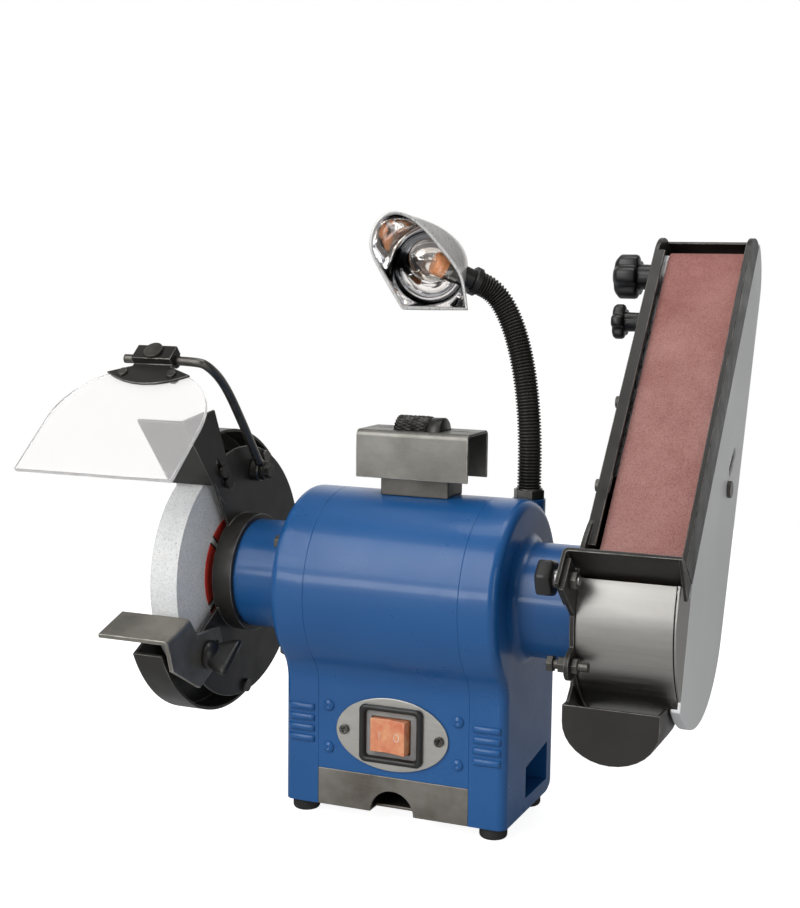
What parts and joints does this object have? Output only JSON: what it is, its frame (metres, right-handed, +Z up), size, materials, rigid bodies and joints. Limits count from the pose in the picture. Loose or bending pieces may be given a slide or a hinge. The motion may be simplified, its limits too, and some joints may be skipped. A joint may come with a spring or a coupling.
{
  "type": "combination bench grinder",
  "caption": "Bench grinder with a guarded grinding wheel, a tilting belt sander, a gooseneck lamp and a stored wheel dresser on one motor.",
  "frame": {"origin": "on the underside of the base, midway between the two bench bolt holes", "axes": "+X right along the shaft towards the belt sander, +Y to the back, +Z up"},
  "size_m": [0.4065, 0.2966, 0.3946],
  "materials": {
    "blue_paint": "gloss",
    "black_paint": "satin",
    "bare_steel": "brushed",
    "silver_sheet": "satin",
    "bright_steel": "machined",
    "rubber": "matte",
    "core_steel": "matte",
    "copper": "lacquered",
    "black_plastic": "moulded",
    "red_rocker": "gloss",
    "clear_shield": "clear",
    "bulb_glass": "clear",
    "chrome": "polished",
    "socket": "matte",
    "wheel_grit": "grainy",
    "label_paper": "matte",
    "belt_grit": "grainy"
  },
  "bodies": {
    "motor": {"motor_shell": "blue_paint", "left_end_cover": "blue_paint", "right_end_cover": "blue_paint", "base_channel": "bare_steel", "rubber_feet": "rubber", "stator_core": "core_steel", "stator_windings": "copper", "start_capacitor": "black_plastic", "cable_gland": "black_plastic", "bearing_outer_rings": "bright_steel", "tie_bolts": "bright_steel", "switch_plate": "bare_steel", "switch_bezel": "black_plastic", "switch_screws": "bright_steel", "panel_screws": "blue_paint", "dresser_holder": "bare_steel", "lamp_base_nut": "bright_steel", "gooseneck": "black_plastic", "wheel_guard_plate": "black_paint", "wheel_guard_cover": "black_paint", "guard_spacer_bolts": "bright_steel", "guard_screws": "bright_steel"},
    "rotor": {"motor_shaft": "bright_steel", "rotor_core": "core_steel", "bearing_inner_rings": "bright_steel", "bearing_balls": "bright_steel", "grinding_wheel": "wheel_grit", "wheel_labels": "label_paper", "wheel_flanges": "bright_steel", "shaft_nuts": "bright_steel", "drive_drum": "bright_steel"},
    "sander_arm": {"sander_frame": "black_paint", "sander_side_cover": "silver_sheet", "drum_guard": "silver_sheet", "dust_chute": "black_paint", "belt_platen": "bare_steel", "sanding_belt": "belt_grit", "sander_screws": "bright_steel"},
    "tension_carriage": {"idler_carriage": "bare_steel", "tension_spring": "bright_steel"},
    "idler": {"idler_roller": "bright_steel", "idler_bearings": "bright_steel"},
    "tension_knob": {"tension_knob": "black_plastic"},
    "tracking_knob": {"tracking_knob": "black_plastic"},
    "belt_work_rest": {"belt_work_rest": "black_paint"},
    "belt_rest_knob": {"belt_rest_knob": "black_plastic"},
    "tool_rest": {"tool_rest": "black_paint"},
    "tool_rest_knob": {"tool_rest_knob": "black_plastic"},
    "spark_deflector": {"spark_deflector": "black_paint"},
    "shield_rod": {"shield_rod": "black_paint"},
    "eye_shield": {"eye_shield": "clear_shield", "shield_bracket": "black_paint", "shield_screws": "bright_steel"},
    "switch_rocker": {"switch_rocker": "red_rocker"},
    "dresser": {"dresser_channel": "bare_steel"},
    "dresser_roller": {"dresser_roller": "core_steel"},
    "lamp_head": {"lamp_shade": "chrome", "lamp_socket": "socket", "lamp_bulb": "bulb_glass"}
  },
  "joints": [
    {"name": "shaft_spin", "type": "hinge", "parent": "motor", "child": "rotor", "pos_m": [0, -0.025, 0.142], "axis": [1, 0, 0], "continuous": true},
    {"name": "arm_tilt", "type": "hinge", "parent": "motor", "child": "sander_arm", "pos_m": [0.124, -0.025, 0.142], "axis": [1, 0, 0], "range_deg": [-49, 40]},
    {"name": "belt_tension", "type": "slide", "parent": "sander_arm", "child": "tension_carriage", "axis": [0, 0.6521, 0.7581], "range_m": [-0.008, 0], "stiffness_N_per_m": 2500, "springref_m": 0.004, "deforming": ["tension_spring"]},
    {"name": "idler_spin", "type": "hinge", "parent": "tension_carriage", "child": "idler", "pos_m": [0.158, 0.09981, 0.34462], "axis": [1, 0, 0], "continuous": true},
    {"name": "tension_knob_turn", "type": "hinge", "parent": "tension_carriage", "child": "tension_knob", "pos_m": [0.108, 0.10329, 0.34558], "axis": [1, 0, 0], "range_deg": [0, 360]},
    {"name": "tracking_knob_turn", "type": "hinge", "parent": "sander_arm", "child": "tracking_knob", "pos_m": [0.108, 0.08322, 0.31536], "axis": [1, 0, 0], "range_deg": [-180, 180]},
    {"name": "belt_rest_slide", "type": "slide", "parent": "sander_arm", "child": "belt_work_rest", "axis": [0, 0.7581, -0.6521], "range_m": [-0.01, 0.0015]},
    {"name": "belt_rest_knob_turn", "type": "hinge", "parent": "sander_arm", "child": "belt_rest_knob", "pos_m": [0.114, -0.09816, 0.17195], "axis": [1, 0, 0], "range_deg": [0, 360]},
    {"name": "tool_rest_slide", "type": "slide", "parent": "motor", "child": "tool_rest", "axis": [0, 0.9511, 0.309], "range_m": [-0.012, 0.002]},
    {"name": "tool_rest_knob_turn", "type": "hinge", "parent": "motor", "child": "tool_rest_knob", "pos_m": [-0.12, -0.07898, 0.09537], "axis": [1, 0, 0], "range_deg": [0, 360]},
    {"name": "deflector_slide", "type": "slide", "parent": "motor", "child": "spark_deflector", "axis": [0, -0.6561, 0.7547], "range_m": [-0.002, 0.004]},
    {"name": "shield_rod_swing", "type": "hinge", "parent": "motor", "child": "shield_rod", "pos_m": [-0.1225, -0.01, 0.21], "axis": [1, 0, 0], "range_deg": [-30, 5]},
    {"name": "eye_shield_tilt", "type": "hinge", "parent": "shield_rod", "child": "eye_shield", "pos_m": [-0.158, -0.087, 0.289], "axis": [1, 0, 0], "range_deg": [-45, 5]},
    {"name": "switch_rock", "type": "hinge", "parent": "motor", "child": "switch_rocker", "pos_m": [0, -0.061, 0.053], "axis": [0, 0, 1], "range_deg": [0, 12]},
    {"name": "dresser_lift", "type": "slide", "parent": "motor", "child": "dresser", "axis": [0, 0, 1], "range_m": [0, 0.03]},
    {"name": "dresser_roller_spin", "type": "hinge", "parent": "dresser", "child": "dresser_roller", "pos_m": [0.0025, -0.025, 0.2435], "axis": [1, 0, 0], "continuous": true},
    {"name": "lamp_bend", "type": "hinge", "parent": "motor", "child": "lamp_head", "pos_m": [0.056, 0.016, 0.28783], "axis": [0, 1, 0], "range_deg": [-20, 20], "deforming": ["gooseneck"]}
  ],
  "couplings": [
    {"joint": "idler_spin", "follows": "shaft_spin", "ratio": 3.3438}
  ]
}
